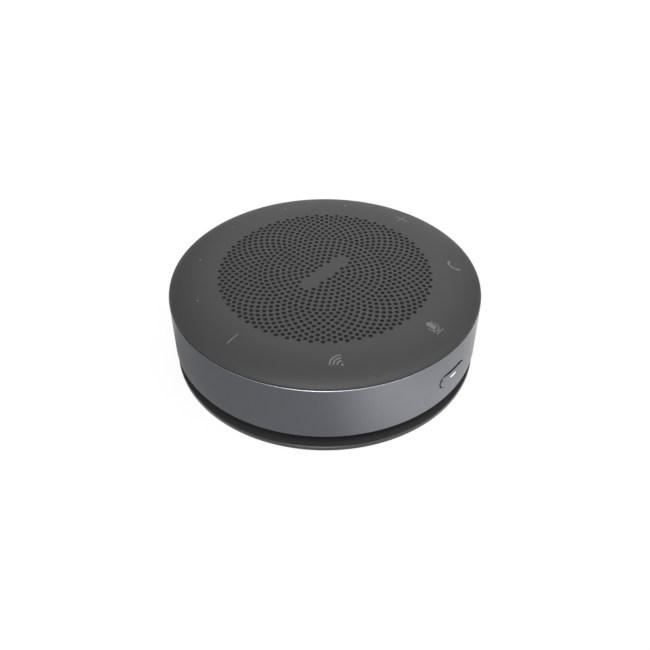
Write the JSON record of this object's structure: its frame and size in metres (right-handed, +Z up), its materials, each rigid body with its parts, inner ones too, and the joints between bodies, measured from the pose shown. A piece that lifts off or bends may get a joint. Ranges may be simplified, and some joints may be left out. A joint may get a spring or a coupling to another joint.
{
  "type": "conference speakerphone",
  "caption": "Round tabletop speakerphone: perforated cover with touch keys over an upward speaker, metal side band with a sprung power button, waisted base on a rubber pad",
  "frame": {"origin": "middle of the rubber pad's underside, on the table", "axes": "+Z up, -Y out through the power button, +Y out through the charging socket, +X to the right as seen from the button"},
  "size_m": [0.125, 0.1256, 0.0365],
  "materials": {
    "cover_plastic": "fine matte grain",
    "grille_cloth": "woven",
    "circuit_board": "solder mask",
    "status_lens": "diffusing",
    "band_anodised": "bead blasted and anodised",
    "button_anodised": "bead blasted and anodised",
    "power_lens": "lit diffuser",
    "switch_plastic": "moulded",
    "lamp_body": "clear",
    "chassis_plastic": "moulded",
    "foam_gasket": "closed-cell foam",
    "driver_steel": "zinc plated",
    "surround_rubber": "moulded",
    "cone_paper": "pressed paper",
    "coil_copper": "enamelled wire",
    "spider_cloth": "resin-dipped cloth",
    "magnet_ferrite": "sintered",
    "shield_steel": "tinned",
    "chip_plastic": "moulded",
    "socket_steel": "nickel plated",
    "socket_plastic": "moulded",
    "cable_film": "polyimide film",
    "lead_sleeve": "insulated wire",
    "cell_foil": "laminated foil",
    "base_plastic": "moulded",
    "pad_rubber": "moulded",
    "screw_steel": "zinc plated"
  },
  "bodies": {
    "housing": {"top_cover": "cover_plastic", "grille_cloth": "grille_cloth", "touch_board": "circuit_board", "status_light_guide": "status_lens", "side_band": "band_anodised", "switch_body": "switch_plastic", "power_lamp": "lamp_body", "button_board": "circuit_board", "button_bracket": "chassis_plastic", "inner_chassis": "chassis_plastic", "driver_gasket": "foam_gasket", "driver_basket": "driver_steel", "driver_surround": "surround_rubber", "driver_spider": "spider_cloth", "driver_top_plate": "driver_steel", "driver_magnet": "magnet_ferrite", "driver_yoke": "driver_steel", "main_board": "circuit_board", "processor_shield": "shield_steel", "amplifier_chip": "chip_plastic", "usb_shell": "socket_steel", "usb_tongue": "socket_plastic", "touch_cable": "cable_film", "speaker_lead": "lead_sleeve", "battery_lead": "lead_sleeve", "battery_pack": "cell_foil", "base_cover": "base_plastic", "foot_pad": "pad_rubber", "microphone_1": "shield_steel", "driver_screw_1": "screw_steel", "case_screw_1": "screw_steel", "microphone_2": "shield_steel", "driver_screw_2": "screw_steel", "case_screw_2": "screw_steel", "microphone_3": "shield_steel", "driver_screw_3": "screw_steel", "case_screw_3": "screw_steel", "microphone_4": "shield_steel", "driver_screw_4": "screw_steel", "case_screw_4": "screw_steel"},
    "power_button": {"power_button_cap": "button_anodised", "power_button_light_guide": "power_lens"},
    "switch_plunger": {"switch_plunger": "switch_plastic"},
    "diaphragm": {"driver_cone": "cone_paper", "driver_dust_cap": "cone_paper", "driver_voice_coil": "coil_copper"}
  },
  "joints": [
    {"name": "power_button_press", "type": "slide", "parent": "housing", "child": "power_button", "axis": [0, 1, 0], "range_m": [0, 0.0004], "stiffness_N_per_m": 2000},
    {"name": "switch_plunger_press", "type": "slide", "parent": "housing", "child": "switch_plunger", "axis": [0, 1, 0], "range_m": [0, 0.0004]},
    {"name": "diaphragm_excursion", "type": "slide", "parent": "housing", "child": "diaphragm", "axis": [0, 0, 1], "range_m": [-0.0015, 0.0015], "stiffness_N_per_m": 1500, "deforming": ["driver_surround", "driver_spider"]}
  ],
  "couplings": [
    {"joint": "switch_plunger_press", "follows": "power_button_press", "ratio": 1}
  ]
}
